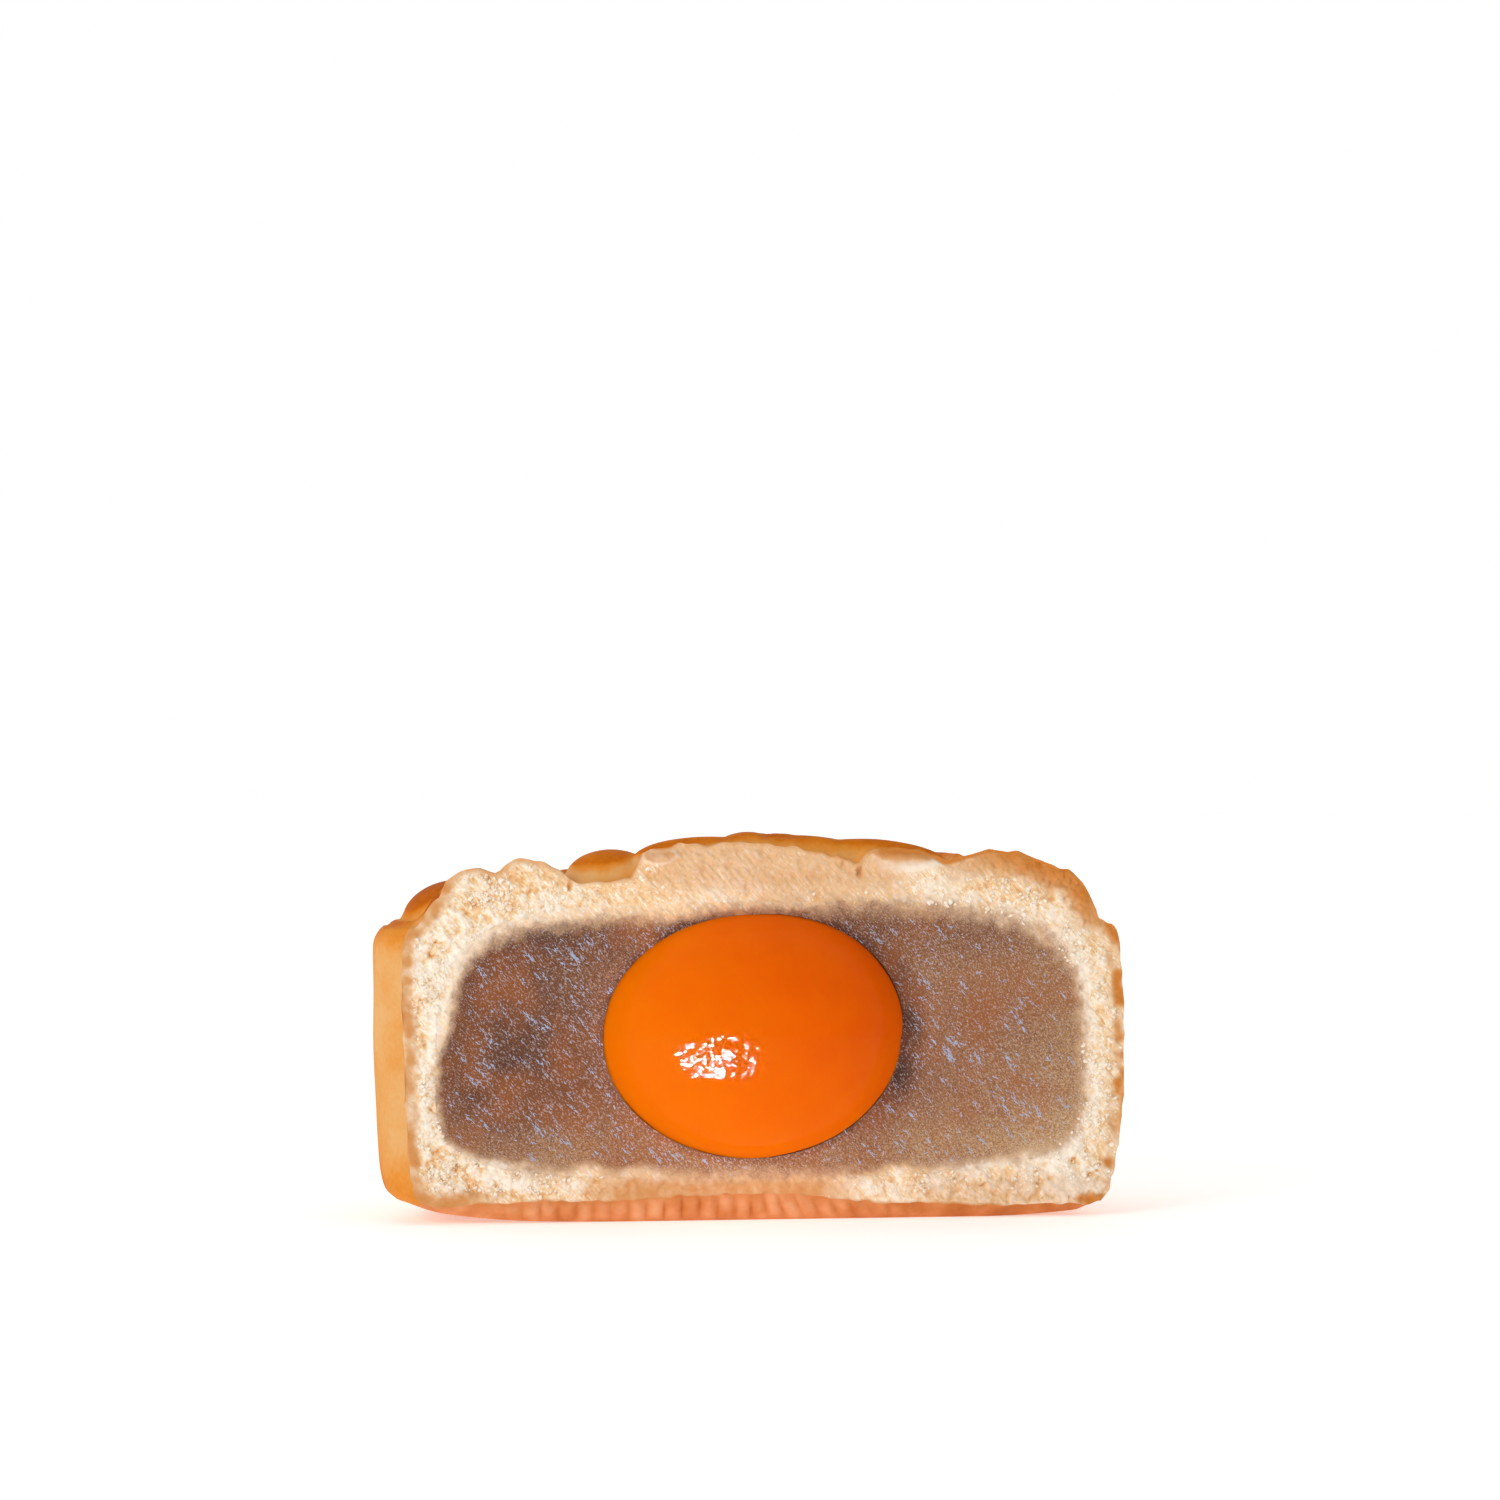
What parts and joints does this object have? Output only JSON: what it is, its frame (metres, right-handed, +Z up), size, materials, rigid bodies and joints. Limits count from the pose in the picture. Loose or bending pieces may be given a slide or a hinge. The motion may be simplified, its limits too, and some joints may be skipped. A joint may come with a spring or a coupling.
{
  "type": "mooncake half",
  "caption": "Half of a round scalloped mooncake with a moulded top, cut to show its paste filling around a whole salted egg yolk.",
  "frame": {"origin": "on the flat underside, where the axis of the whole round paste and pattern meets the surface it rests on, 3.1 mm behind the cut", "axes": "+Z up along the cake's axis, +X to the right along the cut, -Y out of the cut face"},
  "size_m": [0.0749, 0.0496, 0.0386],
  "materials": {
    "crust": "baked, satin outside and crumbly where cut",
    "filling": "smooth moist paste",
    "yolk": "glossy, wet"
  },
  "bodies": {
    "root": {"crust": "crust", "filling": "filling", "yolk": "yolk"}
  },
  "joints": []
}
